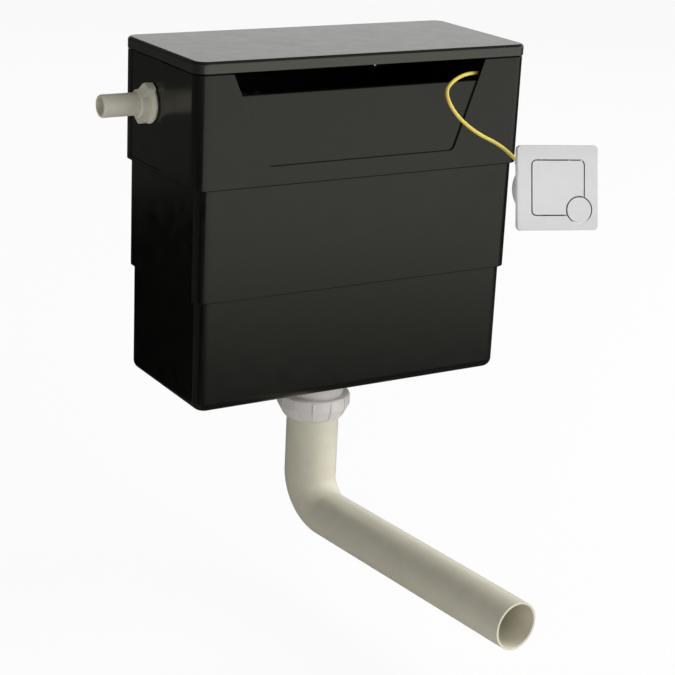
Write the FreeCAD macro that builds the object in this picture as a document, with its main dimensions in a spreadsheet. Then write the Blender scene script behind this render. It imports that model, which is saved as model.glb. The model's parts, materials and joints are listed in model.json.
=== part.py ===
import FreeCAD, Part
import math
import os
import re
import Sketcher
from FreeCAD import Placement, Rotation, Vector

# Concealed toilet cistern with cable flush plate, in millimetres.
# X runs to the right seen from the front, the wall is the plane Y = 0 and the front looks along -Y.
# The origin is midway between the two wall screws; heights in the sheet start at the tank's underside.

os.makedirs("parts", exist_ok=True)
doc = FreeCAD.newDocument("concealed_cistern")
sheet = doc.addObject("Spreadsheet::Sheet", "dims")

# Driving dimensions
DIMENSIONS = (
    # tank shell
    ("tank_width", 349), ("tank_depth", 153), ("shoulder_height", 313), ("rim_rise", 9),
    ("step_one", 210), ("step_two", 106), ("side_inset_one", 4.4), ("side_inset_two", 8),
    ("front_inset_one", 0.9), ("front_inset_two", 3.4), ("back_inset_one", 0.9), ("back_inset_two", 1.8),
    ("corner_round", 12), ("base_round", 9), ("step_round", 0.6), ("shoulder_round", 0.7), ("wall", 3.5),
    ("rim_wall", 2.5), ("rim_drop", 4), ("fix_drop", 28), ("fix_spacing", 200), ("fix_hole", 7),
    # recessed panel and hand slot in the front
    ("panel_top", 266), ("panel_top_shift", -6.7), ("panel_bottom", 198.8), ("panel_bottom_shift", -3.4),
    ("panel_rise", 18), ("recess", 1.7), ("panel_round", 6), ("slot_drop", 19.5), ("lip_round", 1.5),
    # lid
    ("lid_seam", 0.8), ("lid_plate", 2.5), ("lid_wall", 2.5), ("lid_overhang", 0.5), ("lid_back", 0.5),
    ("lid_round", 3), ("lid_lip_round", 0.7), ("lid_clearance", 0.4), ("lid_rib", 2), ("lid_rib_drop", 4),
    ("lid_rib_spacing", 56), ("lid_rib_length", 294),
    # water inlet on the left wall
    ("inlet_setback", 57), ("inlet_drop", 41.5), ("inlet_tail", 49.5), ("inlet_thread", 20.955),
    ("inlet_bore", 15), ("side_pad", 0.8), ("pad_ahead", 24), ("pad_behind", 41), ("washer", 3),
    ("inlet_hole_clearance", 0.5), ("nut_flange", 37), ("nut_flange_thick", 6), ("nut_wing", 41),
    ("nut_wing_wide", 11), ("nut_wing_thick", 9), ("nut_hub", 26), ("nut_hub_length", 15), ("nut_turn", -28),
    ("thread_clearance", 0.2), ("shank_flange", 34), ("shank_flange_thick", 4), ("valve_barrel", 24),
    ("valve_barrel_length", 28), ("chamber", 38), ("chamber_thick", 6), ("nozzle", 6),
    ("cap_skirt", 2.5), ("cap_thick", 10), ("ear_gap", 10), ("ear_thick", 3), ("ear_reach", 12),
    ("pivot_rise", 14), ("arm_pin", 3), ("spout", 20), ("spout_drop", 20), ("spout_at", 24),
    ("fill_tube", 16), ("fill_tube_wall", 1.6), ("fill_tube_foot", 75), ("socket_depth", 8),
    # float
    ("arm_length", 48), ("arm_wide", 8), ("arm_thick", 5), ("arm_drop", 20), ("float_width", 38),
    ("float_height", 45), ("float_wall", 1.6), ("float_hang", 50), ("screw", 4.8), ("running_gap", 0.06),
    # flush valve
    ("outlet_setback", 76.5), ("tail_thread", 59.6), ("tail_bore", 48), ("tail_end", 38),
    ("outlet_hole_clearance", 0.7), ("flange_step", 1.5), ("seat_flange_thick", 4.5), ("gasket", 3),
    ("seat_lip", 4), ("seat_lip_wide", 3), ("backnut", 76), ("backnut_thick", 9), ("cage_gap", 3.5),
    ("cage_wall", 3), ("cage_top", 140), ("guide_drop", 22), ("guide_wall", 4.4), ("window_wide", 26),
    ("window_low", 26), ("window_high", 74), ("tube", 30), ("tube_wall", 2), ("tube_rise", 24),
    ("guide_clearance", 0.6), ("seal_thick", 4), ("seal_wide", 60), ("disc_wide", 62), ("disc_thick", 3),
    ("collar_height", 238), ("collar_step", 6), ("collar_thick", 3), ("lift_float_wide", 60),
    ("lift_float_low", 72), ("lift_float_high", 118),
    # cable bracket and lift crank on the flush valve
    ("pivot_out", 34), ("pivot_drop", 2), ("lift_arm", 14), ("cheek_gap", 18), ("cheek_thick", 3),
    ("bracket_reach", 60), ("bracket_tall", 16), ("crank_pin", 4), ("side_play", 0.4), ("bracket_clip", 3),
    ("prong_wide", 3.5), ("prong_gap", 1), ("stop_thick", 4), ("fork_neck", 9.5), ("fork_web", 4.5),
    # flush bend
    ("pipe", 52), ("pipe_leg", 46), ("pipe_wall", 2.2), ("pipe_drop", 146.3), ("pipe_reach", 316),
    ("pipe_swing", 5.7), ("bend_radius", 36), ("pipe_collar_gap", 0.6), ("collar_lip", 3),
    ("pipe_seal", 2.5), ("coupling", 71), ("coupling_top", 25), ("coupling_straight", 12),
    ("coupling_lip", 4.5), ("coupling_foot_wall", 3.5), ("coupling_rib", 1.6), ("coupling_ribs", 12),
    ("pipe_clearance", 0.4),
    # flush plate
    ("plate_side", 80), ("plate_thick", 6.5), ("plate_round", 4.5), ("plate_edge", 0.9), ("plate_wall", 2),
    ("plate_x", 175.4), ("plate_stand", 59.1), ("plate_z", 198.3), ("plate_yaw", -18.3),
    ("plate_lean", 74.33), ("plate_roll", -0.48), ("button_side", 51), ("button_round", 4),
    ("half_round", 24), ("half_offset", 20.9), ("button_gap", 1), ("button_low", 4.4),
    ("button_proud", 0.2), ("button_edge", 0.5),
    # button housing, measured from the back of the plate
    ("housing", 58), ("housing_wall", 2.5), ("lever_room", 7), ("deck", 2.5), ("frame_clearance", 1),
    ("frame_thick", 2), ("full_stem", 6.4), ("half_stem", 5.6), ("full_at", 12),
    ("half_at", 21.8), ("stem_end", 14), ("well_floor", 10), ("well_floor_thick", 2), ("full_well", 12.4),
    ("half_well", 10), ("well_wall", 1.8), ("stem_clearance", 0.3), ("pull_depth", 17), ("pull_arm", 18),
    ("rocker_at", 13), ("lever_pin", 3), ("lever_gap", 16), ("lever_cheek", 3), ("lever_boss", 8),
    ("clamp_ring", 4), ("clamp_nut_thick", 8), ("panel_thick", 15), ("panel_gasket", 1.2),
    ("cap_disc", 2), ("cap_screw", 3), ("cap_screw_gap", 2.1), ("wire_spring", 0.8), ("spring_turns", 6),
    # pull cable
    ("cable", 3.5), ("wire", 1.5), ("wire_bore", 2.5), ("nipple", 5), ("ferrule", 6.4), ("ferrule_stub", 5),
    ("ferrule_flange", 8), ("ferrule_flange_thick", 2.4), ("ferrule_body", 13), ("gland_body", 6.5),
    ("gland_stub", 7), ("stand_off", 7),
)
NAMES = dict(DIMENSIONS)

# Heights and spans that follow from other pieces and a clearance
FOLLOWERS = (
    ("rim_height", "shoulder_height + rim_rise"), ("fix_height", "shoulder_height - fix_drop"),
    ("slot_low", "shoulder_height - slot_drop"), ("inlet_height", "shoulder_height - inlet_drop"),
    ("panel_low", "step_one + panel_rise"), ("lid_height", "rim_rise + lid_plate - lid_seam"),
    ("side_pad_front", "inlet_setback + pad_ahead"), ("side_pad_back", "inlet_setback - pad_behind"),
    ("cap_outside", "chamber + 2 * cap_skirt"), ("pivot_height", "collar_height - pivot_drop"),
    ("tube_top", "collar_height + tube_rise"), ("bracket_low", "guide_top - bracket_tall"),
    ("guide_top", "collar_height - guide_drop"), ("collar_wide", "tube + 2 * collar_step"),
    ("seat_flange", "cage + 2 * flange_step"), ("cage", "disc_wide + 2 * cage_wall + 2 * cage_gap"),
    ("pipe_collar", "tail_thread - 2 * pipe_collar_gap"), ("coupling_foot", "pipe + 2 * coupling_foot_wall"),
    ("plate_y", "tank_depth + plate_stand"), ("housing_length", "pull_depth + pull_arm + lever_room"),
    ("frame_side", "plate_side - 2 * plate_wall - 2 * frame_clearance"),
    ("clamp_nut", "housing + 2 * clamp_ring"),
    ("cap_screw_at", "housing / 2 - housing_wall - cap_screw_gap"),
)
for row, (alias, value) in enumerate(DIMENSIONS, 1):
    sheet.set("A%d" % row, alias.replace("_", " "))
    sheet.set("B%d" % row, str(value))
    sheet.setAlias("B%d" % row, alias)
doc.recompute()

PIECES = []
UP = Rotation()


def cells(text, swap):
    for name, rule in FOLLOWERS:
        text = re.sub(r"\b%s\b" % name, "(%s)" % rule, text)
    return re.sub(r"[a-z][a-z_0-9]*", lambda m: swap(m.group(0)) if m.group(0) in NAMES else m.group(0),
                  text)


def bind(thing, prop, text):
    thing.setExpression(prop, cells(text, lambda name: "dims." + name))


def number(text):
    filled = cells(text, lambda name: "(%r)" % float(getattr(sheet, name)))
    return FreeCAD.Units.Quantity(filled).Value


def place(thing, x, y, z, turn):
    thing.Placement = Placement(Vector(), turn)
    bind(thing, "Placement.Base.x", x)
    bind(thing, "Placement.Base.y", y)
    bind(thing, "Placement.Base.z", "%s - fix_height" % z)


def body(label, x="0", y="0", z="0", turn=UP, kept=True):
    piece = doc.addObject("PartDesign::Body", label)
    piece.Label = label
    place(piece, x, y, z, turn)
    if kept:
        PIECES.append(piece)
    return piece


def sketch(piece, name, plane, level="0"):
    drawn = piece.newObject("Sketcher::SketchObject", piece.Label + "_" + name)
    support = [item for item in piece.Origin.OriginFeatures if item.Role == plane][0]
    drawn.AttachmentSupport = [(support, "")]
    drawn.MapMode = "FlatFace"
    bind(drawn, "AttachmentOffset.Base.z", level)
    return drawn


def held(drawn, rule, text):
    index = drawn.addConstraint(rule)
    bind(drawn, "Constraints[%d]" % index, text)


def pin_point(drawn, edge, end, x, y):
    held(drawn, Sketcher.Constraint("DistanceX", -1, 1, edge, end, number(x)), x)
    held(drawn, Sketcher.Constraint("DistanceY", -1, 1, edge, end, number(y)), y)


def outline(drawn, corners):
    """Closed run of straight lines, each corner bound to two expressions."""
    spots = [Vector(number(x), number(y), 0) for x, y in corners]
    first = drawn.GeometryCount
    count = len(spots)
    for k in range(count):
        drawn.addGeometry(Part.LineSegment(spots[k], spots[(k + 1) % count]), False)
    for k in range(count):
        drawn.addConstraint(Sketcher.Constraint("Coincident", first + k, 2, first + (k + 1) % count, 1))
    for k, (x, y) in enumerate(corners):
        pin_point(drawn, first + k, 1, x, y)
    return drawn


def box(drawn, x0, y0, x1, y1):
    return outline(drawn, ((x0, y0), (x1, y0), (x1, y1), (x0, y1)))


def circle(drawn, radius, x="0", y="0"):
    index = drawn.addGeometry(Part.Circle(Vector(number(x), number(y), 0), Vector(0, 0, 1), number(radius)),
                              False)
    pin_point(drawn, index, 3, x, y)
    held(drawn, Sketcher.Constraint("Radius", index, number(radius)), radius)
    return drawn


def soft_box(drawn, x0, y0, x1, y1, radius):
    """Rectangle with four equal tangent corner arcs."""
    a, b, c, d, r = number(x0), number(y0), number(x1), number(y1), number(radius)
    first = drawn.GeometryCount
    runs = (((a + r, b), (c - r, b)), ((c, b + r), (c, d - r)), ((c - r, d), (a + r, d)),
            ((a, d - r), (a, b + r)))
    turns = ((c - r, b + r, -90), (c - r, d - r, 0), (a + r, d - r, 90), (a + r, b + r, 180))
    for (start, end), (x, y, angle) in zip(runs, turns):
        drawn.addGeometry(Part.LineSegment(Vector(*start, 0), Vector(*end, 0)), False)
        ring = Part.Circle(Vector(x, y, 0), Vector(0, 0, 1), r)
        drawn.addGeometry(Part.ArcOfCircle(ring, math.radians(angle), math.radians(angle + 90)), False)
    for k in range(4):
        line, arc, after = first + 2 * k, first + 2 * k + 1, first + (2 * k + 2) % 8
        drawn.addConstraint(Sketcher.Constraint("Tangent", line, 2, arc, 1))
        drawn.addConstraint(Sketcher.Constraint("Tangent", arc, 2, after, 1))
        drawn.addConstraint(Sketcher.Constraint("Vertical" if k % 2 else "Horizontal", line))
        if k:
            drawn.addConstraint(Sketcher.Constraint("Equal", first + 1, arc))
    held(drawn, Sketcher.Constraint("Radius", first + 1, r), radius)
    held(drawn, Sketcher.Constraint("DistanceY", -1, 1, first, 1, b), y0)
    held(drawn, Sketcher.Constraint("DistanceX", -1, 1, first + 2, 1, c), x1)
    held(drawn, Sketcher.Constraint("DistanceY", -1, 1, first + 4, 1, d), y1)
    held(drawn, Sketcher.Constraint("DistanceX", -1, 1, first + 6, 1, a), x0)
    return drawn


def extrude(kind, drawn, length, back, both):
    piece = drawn.getParentGeoFeatureGroup()
    made = piece.newObject("PartDesign::" + kind, drawn.Name + "_" + kind.lower())
    made.Profile = drawn
    bind(made, "Length", length)
    made.Reversed = back
    if both:
        made.SideType = "Symmetric"
    drawn.Visibility = False
    return made


def pad(drawn, length, back=False, both=False):
    return extrude("Pad", drawn, length, back, both)


def pocket(drawn, length, back=False, both=False):
    return extrude("Pocket", drawn, length, back, both)


def turned(piece, name, corners):
    """Body of revolution about the piece's own Z from a profile of radius and height."""
    drawn = outline(sketch(piece, name, "XZ_Plane"), corners)
    made = piece.newObject("PartDesign::Revolution", drawn.Name + "_turn")
    made.Profile = drawn
    made.ReferenceAxis = (drawn, ["V_Axis"])
    made.Angle = 360
    return made


def ring(piece, name, inner, outer, low, high):
    return turned(piece, name, ((inner, low), (outer, low), (outer, high), (inner, high)))


def patterned(piece, feature, count):
    spread = piece.newObject("PartDesign::PolarPattern", feature.Name + "_row")
    spread.Originals = [feature]
    axis = [item for item in piece.Origin.OriginFeatures if item.Role == "Z_Axis"][0]
    spread.Axis = (axis, [""])
    spread.Angle = 360
    bind(spread, "Occurrences", count)
    piece.Tip = spread
    return spread


def eased(piece, test, radius):
    """Fillet on the edges of the latest feature that pass the test."""
    doc.recompute()
    tip = piece.Tip
    names = ["Edge%d" % (k + 1) for k, edge in enumerate(tip.Shape.Edges) if test(edge)]
    made = piece.newObject("PartDesign::Fillet", piece.Label + "_round")
    made.Base = (tip, names)
    bind(made, "Radius", radius)
    return made


def near(value, text):
    return abs(value - number(text)) < 1e-4


def level_edge(edge, text):
    return all(near(vertex.Point.z, text) for vertex in edge.Vertexes) and near(edge.CenterOfMass.z, text)


def outer_edges(shape, text, down):
    """Outer boundary edges of the largest level face at a height, looking down or up."""
    flat = [face for face in shape.Faces if near(face.CenterOfMass.z, text)
            and abs(abs(face.normalAt(0, 0).z) - 1) < 1e-6 and (face.normalAt(0, 0).z < 0) == down]
    return max(flat, key=lambda face: face.OuterWire.BoundBox.DiagonalLength).OuterWire.Edges


def eased_outline(piece, text, down, radius):
    doc.recompute()
    wanted = outer_edges(piece.Tip.Shape, text, down)
    return eased(piece, lambda edge: any(edge.isSame(other) for other in wanted), radius)


HALF = "tank_width / 2"

# Tank: three nested tiers, a rim for the lid, and the cavity that follows them
tank = body("tank")
TIERS = (
    ("tier_one", "step_one", "shoulder_height", "0", "0", "0"),
    ("tier_two", "step_two", "step_one", "side_inset_one", "front_inset_one", "back_inset_one"),
    ("tier_three", "0", "step_two", "side_inset_two", "front_inset_two", "back_inset_two"),
)
for name, low, high, side, front, back in TIERS:
    drawn = sketch(tank, name, "XY_Plane", low)
    soft_box(drawn, "%s - %s" % (side, HALF), "%s - tank_depth" % front, "%s - %s" % (HALF, side),
             "-%s" % back, "corner_round")
    pad(drawn, "%s - %s" % (high, low))
RIM_IN = "(lid_wall - lid_overhang + lid_clearance)"
RIM_BACK = "(lid_back + lid_wall + lid_clearance)"
drawn = sketch(tank, "rim", "XY_Plane", "shoulder_height")
soft_box(drawn, "%s - %s" % (RIM_IN, HALF), "%s - tank_depth" % RIM_IN, "%s - %s" % (HALF, RIM_IN),
         "-%s" % RIM_BACK, "corner_round - %s" % RIM_IN)
pad(drawn, "rim_height - shoulder_height")
eased_outline(tank, "0", True, "base_round")
eased_outline(tank, "step_one", True, "step_round")
eased_outline(tank, "step_two", True, "step_round")
eased_outline(tank, "shoulder_height", False, "shoulder_round")
drawn = sketch(tank, "mouth", "XY_Plane", "rim_height")
soft_box(drawn, "%s + rim_wall - %s" % (RIM_IN, HALF), "%s + rim_wall - tank_depth" % RIM_IN,
         "%s - %s - rim_wall" % (HALF, RIM_IN), "-%s - rim_wall" % RIM_BACK,
         "corner_round - %s - rim_wall" % RIM_IN)
pocket(drawn, "rim_height - shoulder_height + rim_drop")
CAVITIES = (
    ("cavity_one", "shoulder_height - rim_drop", "step_one + wall", "0", "0", "0"),
    ("cavity_two", "step_one + wall", "step_two + wall", "side_inset_one", "front_inset_one",
     "back_inset_one"),
    ("cavity_three", "step_two + wall", "wall", "side_inset_two", "front_inset_two", "back_inset_two"),
)
for name, high, low, side, front, back in CAVITIES:
    drawn = sketch(tank, name, "XY_Plane", high)
    soft_box(drawn, "%s + wall - %s" % (side, HALF), "%s + wall - tank_depth" % front,
             "%s - %s - wall" % (HALF, side), "-%s - wall" % back, "corner_round - wall")
    pocket(drawn, "%s - (%s)" % (high, low))
eased_outline(tank, "wall", False, "base_round - wall")

# Recessed front panel with its backing, and the hand slot above its lip
LEFT_TOP = "(panel_top_shift - panel_top / 2)"
RIGHT_TOP = "(panel_top_shift + panel_top / 2)"
LEFT_LOW = "(panel_bottom_shift - panel_bottom / 2)"
RIGHT_LOW = "(panel_bottom_shift + panel_bottom / 2)"
SHARE = "(slot_low - panel_low) / (shoulder_height - panel_low)"
LEFT_LIP = "(%s + (%s - %s) * %s)" % (LEFT_LOW, LEFT_TOP, LEFT_LOW, SHARE)
RIGHT_LIP = "(%s + (%s - %s) * %s)" % (RIGHT_LOW, RIGHT_TOP, RIGHT_LOW, SHARE)
drawn = sketch(tank, "backing", "XZ_Plane", "tank_depth - wall - recess")
outline(drawn, (("%s - wall" % LEFT_LOW, "panel_low - wall"), ("%s + wall" % RIGHT_LOW, "panel_low - wall"),
                ("%s + wall" % RIGHT_LIP, "slot_low"), ("%s - wall" % LEFT_LIP, "slot_low")))
pad(drawn, "recess + wall / 3")
drawn = sketch(tank, "recess", "XZ_Plane", "tank_depth")
outline(drawn, ((LEFT_LOW, "panel_low"), (RIGHT_LOW, "panel_low"), (RIGHT_TOP, "shoulder_height"),
                (LEFT_TOP, "shoulder_height")))
pocket(drawn, "recess")
eased(tank, lambda edge: near(edge.CenterOfMass.z, "panel_low") and edge.Length < 5
      and near(edge.CenterOfMass.y, "recess / 2 - tank_depth"), "panel_round")
drawn = sketch(tank, "slot", "XZ_Plane", "tank_depth")
outline(drawn, ((LEFT_LIP, "slot_low"), (RIGHT_LIP, "slot_low"), (RIGHT_TOP, "shoulder_height"),
                (RIGHT_TOP, "rim_height + wall"),
                (LEFT_TOP, "rim_height + wall"), (LEFT_TOP, "shoulder_height")))
pocket(drawn, "recess + 2 * wall")
eased(tank, lambda edge: level_edge(edge, "slot_low") and edge.Length > number("panel_bottom"), "lip_round")

# Shallow pads on the side walls, the inlet hole on the left and a blind knock-out on the right
drawn = sketch(tank, "pad_left", "YZ_Plane", "-%s" % HALF)
box(drawn, "-side_pad_front", "step_one + wall", "-side_pad_back", "shoulder_height + side_pad")
pocket(drawn, "side_pad", back=True)
drawn = sketch(tank, "pad_right", "YZ_Plane", HALF)
box(drawn, "-side_pad_front", "step_one + wall", "-side_pad_back", "shoulder_height + side_pad")
pocket(drawn, "side_pad")
drawn = sketch(tank, "inlet_hole", "YZ_Plane", "-%s" % HALF)
circle(drawn, "inlet_thread / 2 + inlet_hole_clearance", "-inlet_setback", "inlet_height")
pocket(drawn, "2 * wall", back=True)
drawn = sketch(tank, "knock_out", "YZ_Plane", HALF)
circle(drawn, "inlet_thread / 2 + inlet_hole_clearance", "-inlet_setback", "inlet_height")
pocket(drawn, "2 * side_pad")
drawn = sketch(tank, "outlet_hole", "XY_Plane")
circle(drawn, "tail_thread / 2 + outlet_hole_clearance", "0", "-outlet_setback")
pocket(drawn, "2 * wall", back=True)
drawn = sketch(tank, "fixing_holes", "XZ_Plane")
circle(drawn, "fix_hole / 2", "-fix_spacing / 2", "fix_height")
circle(drawn, "fix_hole / 2", "fix_spacing / 2", "fix_height")
pocket(drawn, "2 * wall", back=True)

# Lid: shallow cap that drops over the rim
lid = body("lid")
LID_TOP = "rim_height + lid_plate"
drawn = sketch(lid, "plan", "XY_Plane", "%s - lid_height" % LID_TOP)
soft_box(drawn, "-%s - lid_overhang" % HALF, "-tank_depth - lid_overhang", "%s + lid_overhang" % HALF,
         "-lid_back", "corner_round")
pad(drawn, "lid_height")
eased_outline(lid, LID_TOP, False, "lid_round")
eased_outline(lid, "%s - lid_height" % LID_TOP, True, "lid_lip_round")
drawn = sketch(lid, "hollow", "XY_Plane", "%s - lid_height" % LID_TOP)
soft_box(drawn, "lid_wall - %s - lid_overhang" % HALF, "lid_wall - tank_depth - lid_overhang",
         "%s + lid_overhang - lid_wall" % HALF, "-lid_back - lid_wall", "corner_round - lid_wall")
pocket(drawn, "lid_height - lid_plate", back=True)
drawn = sketch(lid, "ribs", "XY_Plane", "rim_height")
for side in ("-", "+"):
    middle = "-tank_depth / 2 %s lid_rib_spacing / 2" % side
    box(drawn, "-lid_rib_length / 2", "%s - lid_rib / 2" % middle, "lid_rib_length / 2",
        "%s + lid_rib / 2" % middle)
pad(drawn, "lid_rib_drop", back=True)

# Water inlet: pieces turned about an axis that leaves through the left wall
WALL_HERE = "(wall - side_pad)"
INLET = ("side_pad - %s" % HALF, "-inlet_setback", "inlet_height", Rotation(Vector(0, 1, 0), -90))
THREAD = "inlet_thread / 2"
SHOULDER = "(-%s - washer)" % WALL_HERE
BARREL = "(%s - shank_flange_thick)" % SHOULDER
CHAMBER = "(%s - valve_barrel_length)" % BARREL
SEAT = "(%s - chamber_thick)" % CHAMBER
fill_valve = body("fill_valve_body", *INLET)
turned(fill_valve, "profile", (
    ("inlet_bore / 2", "inlet_tail"), (THREAD + " - 1", "inlet_tail"), (THREAD, "inlet_tail - 1.5"),
    (THREAD, "nut_hub_length"), (THREAD + " - thread_clearance", "nut_hub_length"),
    (THREAD + " - thread_clearance", SHOULDER), ("shank_flange / 2", SHOULDER),
    ("shank_flange / 2", BARREL), ("valve_barrel / 2", BARREL), ("valve_barrel / 2", CHAMBER),
    ("chamber / 2", CHAMBER), ("chamber / 2", SEAT), ("nozzle / 2", SEAT),
    ("nozzle / 2", CHAMBER), ("inlet_bore / 2", CHAMBER)))
drawn = circle(sketch(fill_valve, "spout", "YZ_Plane", "-inlet_bore / 2 - 2"), "spout / 2", "0",
               "-spout_at")
pad(drawn, "spout_drop - inlet_bore / 2 - 2", back=True)
drawn = circle(sketch(fill_valve, "socket", "YZ_Plane", "-spout_drop"), "fill_tube / 2 + thread_clearance",
               "0", "-spout_at")
pocket(drawn, "socket_depth", back=True)
washer = body("inlet_washer", *INLET)
ring(washer, "profile", THREAD + " + thread_clearance", "shank_flange / 2", SHOULDER, "-%s" % WALL_HERE)
backnut = body("inlet_backnut", *INLET[:3], INLET[3] * Rotation(Vector(0, 0, 1), number("nut_turn")))
turned(backnut, "profile", (
    ("0", "0"), ("nut_flange / 2 - 1.5", "0"), ("nut_flange / 2", "nut_flange_thick / 4"),
    ("nut_flange / 2", "nut_flange_thick / 2"), ("nut_flange / 2 - 2.5", "nut_flange_thick"),
    ("nut_hub / 2", "nut_flange_thick"), ("nut_hub / 2", "nut_hub_length - 2"),
    ("nut_hub / 2 - 1.5", "nut_hub_length"), ("0", "nut_hub_length")))
drawn = sketch(backnut, "wing", "XZ_Plane")
outline(drawn, (
    ("nut_hub / 2 - 1", "1"), ("nut_wing / 2", "1"), ("nut_wing / 2", "nut_wing_thick"),
    ("nut_hub / 2 - 1", "nut_hub_length - 2")))
wing = pad(drawn, "nut_wing_wide", both=True)
patterned(backnut, wing, "2")
eased(backnut, lambda edge: near(math.hypot(edge.CenterOfMass.x, edge.CenterOfMass.y),
                                 "sqrt(nut_wing ^ 2 + nut_wing_wide ^ 2) / 2"), "nut_wing_wide / 4")
drawn = circle(sketch(backnut, "bore", "XY_Plane"), THREAD + " + thread_clearance")
pocket(drawn, "nut_hub_length", back=True)

# Cap over the inlet diaphragm with two ears that carry the float arm
cap = body("fill_valve_cap", *INLET)
turned(cap, "profile", (
    ("0", "%s - cap_thick" % SEAT), ("cap_outside / 2", "%s - cap_thick" % SEAT),
    ("cap_outside / 2", CHAMBER),
    ("chamber / 2 + thread_clearance", CHAMBER), ("chamber / 2 + thread_clearance", SEAT), ("0", SEAT)))
drawn = circle(sketch(cap, "grip", "XY_Plane", "%s - cap_thick" % SEAT), "1.4", "cap_outside / 2")
grip = pad(drawn, "cap_thick + chamber_thick")
patterned(cap, grip, "coupling_ribs")
EAR_END = "(%s - cap_thick - ear_reach)" % SEAT
for side, name in (("", "ear_front"), ("-", "ear_back")):
    drawn = sketch(cap, name, "XZ_Plane", "%s(ear_gap / 2)" % side)
    soft_box(drawn, "0", EAR_END, "pivot_rise + ear_reach / 2", "%s - cap_thick / 2" % SEAT,
             "ear_reach / 4")
    pad(drawn, "ear_thick", back=bool(side))
drawn = circle(sketch(cap, "pin_hole", "XZ_Plane"), "arm_pin / 2", "pivot_rise",
               "%s + ear_reach / 2" % EAR_END)
pocket(drawn, "2 * ear_gap + 4 * ear_thick", both=True)

# Float arm, stored dropped on its stop, with the screw and the float it carries
PIVOT_X = "side_pad - %s - (%s + ear_reach / 2)" % (HALF, EAR_END)
PIVOT = (PIVOT_X, "-inlet_setback", "inlet_height + pivot_rise")
dropped = Rotation(Vector(0, 1, 0), number("arm_drop"))
arm_pin = body("float_arm_pin", *PIVOT, Rotation(Vector(1, 0, 0), 90))
pad(circle(sketch(arm_pin, "shank", "XY_Plane"), "arm_pin / 2"), "ear_gap + 2 * ear_thick", both=True)
arm = body("float_arm", *PIVOT, dropped)
drawn = sketch(arm, "side", "XZ_Plane")
soft_box(drawn, "-arm_thick * 0.8", "-arm_thick / 2", "arm_length + screw * 1.2", "arm_thick / 2",
         "arm_thick * 0.45")
pad(drawn, "arm_wide", both=True)
drawn = circle(sketch(arm, "boss", "XZ_Plane"), "arm_thick * 0.8")
pad(drawn, "ear_gap - 2 * side_play", both=True)
drawn = circle(sketch(arm, "pin_hole", "XZ_Plane"), "arm_pin / 2 + running_gap")
pocket(drawn, "2 * ear_gap", both=True)
drawn = circle(sketch(arm, "screw_boss", "XY_Plane"), "screw", "arm_length")
pad(drawn, "2 * arm_thick", both=True)
drawn = circle(sketch(arm, "screw_hole", "XY_Plane"), "screw / 2", "arm_length")
pocket(drawn, "4 * arm_thick", both=True)
float_screw = body("float_screw", *PIVOT, dropped)
drawn = circle(sketch(float_screw, "shank", "XY_Plane", "-float_hang - 2 * float_wall"), "screw / 2",
               "arm_length")
pad(drawn, "float_hang + 2 * float_wall + arm_thick")
drawn = circle(sketch(float_screw, "head", "XY_Plane", "arm_thick"), "screw * 0.9", "arm_length")
pad(drawn, "screw * 0.7")
drawn = sketch(float_screw, "slit", "XY_Plane", "arm_thick + screw * 0.7")
box(drawn, "arm_length - screw", "-0.5", "arm_length + screw", "0.5")
pocket(drawn, "screw * 0.3")
float_cup = body("float_cup", *PIVOT, dropped)
drawn = circle(sketch(float_cup, "outside", "XY_Plane", "-float_hang - float_height"), "float_width / 2",
               "arm_length")
pad(drawn, "float_height")
eased_outline(float_cup, "-float_hang", False, "float_wall * 1.5")
drawn = sketch(float_cup, "inside", "XY_Plane", "-float_hang - float_height")
circle(drawn, "float_width / 2 - float_wall", "arm_length")
pocket(drawn, "float_height - 2 * float_wall", back=True)
drawn = circle(sketch(float_cup, "screw_hole", "XY_Plane", "-float_hang"), "screw / 2", "arm_length")
pocket(drawn, "2 * float_wall")
fill_tube = body("fill_tube", "side_pad - %s + spout_at" % HALF, "-inlet_setback", "0")
ring(fill_tube, "profile", "fill_tube / 2 - fill_tube_wall", "fill_tube / 2", "fill_tube_foot",
     "inlet_height - spout_drop + socket_depth")

# Flush valve: seat, gasket and backnut clamp the tank floor
OUTLET = ("0", "-outlet_setback", "0")
TAIL = "tail_thread / 2"
FLOOR = "(wall + gasket)"
DECK = "(%s + seat_flange_thick)" % FLOOR
LIP = "(%s + seat_lip)" % DECK
valve_seat = body("valve_seat", *OUTLET)
turned(valve_seat, "profile", (
    ("tail_bore / 2", "-tail_end"), (TAIL, "-tail_end"), (TAIL, FLOOR), ("seat_flange / 2", FLOOR),
    ("seat_flange / 2", DECK), ("tail_bore / 2 + 1.5 + seat_lip_wide", DECK),
    ("tail_bore / 2 + 1.5 + seat_lip_wide", LIP),
    ("tail_bore / 2 + 1.5", LIP), ("tail_bore / 2", "%s - 1.5" % LIP)))
seat_gasket = body("seat_gasket", *OUTLET)
ring(seat_gasket, "profile", TAIL + " + outlet_hole_clearance", "seat_flange / 2 - 1", "wall", FLOOR)
valve_backnut = body("valve_backnut", *OUTLET)
ring(valve_backnut, "profile", TAIL + " + thread_clearance", "backnut / 2 - 2", "-backnut_thick", "0")
drawn = sketch(valve_backnut, "lug", "XY_Plane", "-backnut_thick")
box(drawn, "backnut / 2 - 4", "-4", "backnut / 2 + 2", "4")
patterned(valve_backnut, pad(drawn, "backnut_thick - 1"), "coupling_ribs / 2")

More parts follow.
